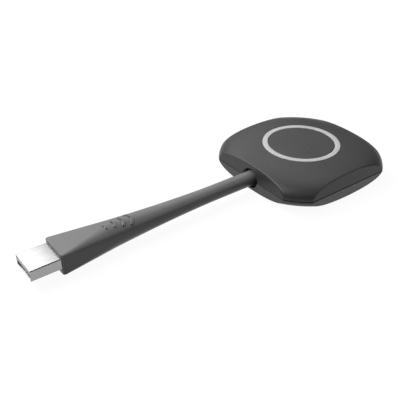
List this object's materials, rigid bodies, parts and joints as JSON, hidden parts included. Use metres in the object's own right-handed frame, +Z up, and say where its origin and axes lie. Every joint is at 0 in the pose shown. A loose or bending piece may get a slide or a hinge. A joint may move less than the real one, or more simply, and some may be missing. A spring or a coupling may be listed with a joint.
{
  "type": "wireless presentation dongle",
  "caption": "Flat pillow-shaped head with a central push button in a light ring, on a stiff tapered moulded tail that ends in a USB-A plug.",
  "frame": {"origin": "centre of the foot pad's lower face, on the surface that the head stands on, under the centre of the head", "axes": "+Z up out of the button, +X along the tail's axis away from the plug, so the plug points along -X"},
  "size_m": [0.1609, 0.0592, 0.0146],
  "materials": {
    "cover_abs": "fine textured moulded ABS",
    "button_abs": "satin moulded ABS",
    "ring_diffuser": "milky translucent polycarbonate",
    "white_reflector": "white moulded polycarbonate",
    "pad_rubber": "matt silicone rubber",
    "tail_tpe": "satin moulded elastomer",
    "grommet_rubber": "matt rubber",
    "screw_steel": "zinc plated steel",
    "tin_plate": "tin plated steel sheet",
    "plug_nickel": "nickel plated steel sheet",
    "circuit_board": "solder masked glass epoxy",
    "chip_epoxy": "moulded epoxy",
    "lamp_body": "clear resin on a white carrier",
    "ceramic": "fired ceramic",
    "ferrite": "pressed ferrite",
    "switch_plastic": "moulded nylon",
    "stem_plastic": "moulded acetal",
    "spreader_aluminium": "milled plate",
    "gap_filler": "soft silicone pad",
    "antenna_metal": "gold plated sheet",
    "contact_gold": "gold plated copper alloy",
    "tongue_plastic": "white moulded thermoplastic",
    "inner_mould": "hard moulded polyethylene",
    "jacket_pvc": "extruded jacket",
    "braid_copper": "tinned copper braid",
    "header_nylon": "moulded nylon",
    "insulation_red": "extruded insulation",
    "insulation_white": "extruded insulation",
    "insulation_green": "extruded insulation",
    "insulation_black": "extruded insulation"
  },
  "bodies": {
    "housing": {"top_cover": "cover_abs", "bottom_cover": "cover_abs", "foot_pad": "pad_rubber", "light_ring": "ring_diffuser", "ring_reflector": "white_reflector", "ring_board": "circuit_board", "ring_leds": "lamp_body", "cover_screws": "screw_steel", "ring_screws": "screw_steel", "main_board": "circuit_board", "switch_body": "switch_plastic", "switch_frame": "tin_plate", "switch_dome": "tin_plate", "shield_can": "tin_plate", "processor_chip": "chip_epoxy", "memory_chip": "chip_epoxy", "radio_board": "circuit_board", "radio_can": "tin_plate", "flash_chip": "chip_epoxy", "regulator_chip": "chip_epoxy", "crystal": "tin_plate", "capacitors": "ceramic", "inductors": "ferrite", "board_link": "header_nylon", "heat_spreader": "spreader_aluminium", "thermal_pad": "gap_filler", "antenna_left": "antenna_metal", "antenna_right": "antenna_metal", "tail_sleeve": "tail_tpe", "tail_grommet": "grommet_rubber", "usb_shell": "plug_nickel", "plug_insulator": "tongue_plastic", "plug_contacts": "contact_gold", "plug_mould": "inner_mould", "cable_jacket": "jacket_pvc", "cable_braid": "braid_copper", "cable_crimp": "tin_plate", "cable_socket": "header_nylon", "cable_plug": "header_nylon", "wire_power": "insulation_red", "wire_data_minus": "insulation_white", "wire_data_plus": "insulation_green", "wire_ground": "insulation_black"},
    "button": {"button_cap": "button_abs"},
    "plunger": {"switch_stem": "stem_plastic"}
  },
  "joints": [
    {"name": "button_press", "type": "slide", "parent": "housing", "child": "button", "axis": [0, 0, -1], "range_m": [0, 0.0005], "stiffness_N_per_m": 1500},
    {"name": "plunger_press", "type": "slide", "parent": "housing", "child": "plunger", "axis": [0, 0, -1], "range_m": [0, 0.0005], "deforming": ["switch_dome"]}
  ],
  "couplings": [
    {"joint": "plunger_press", "follows": "button_press", "ratio": 1}
  ]
}
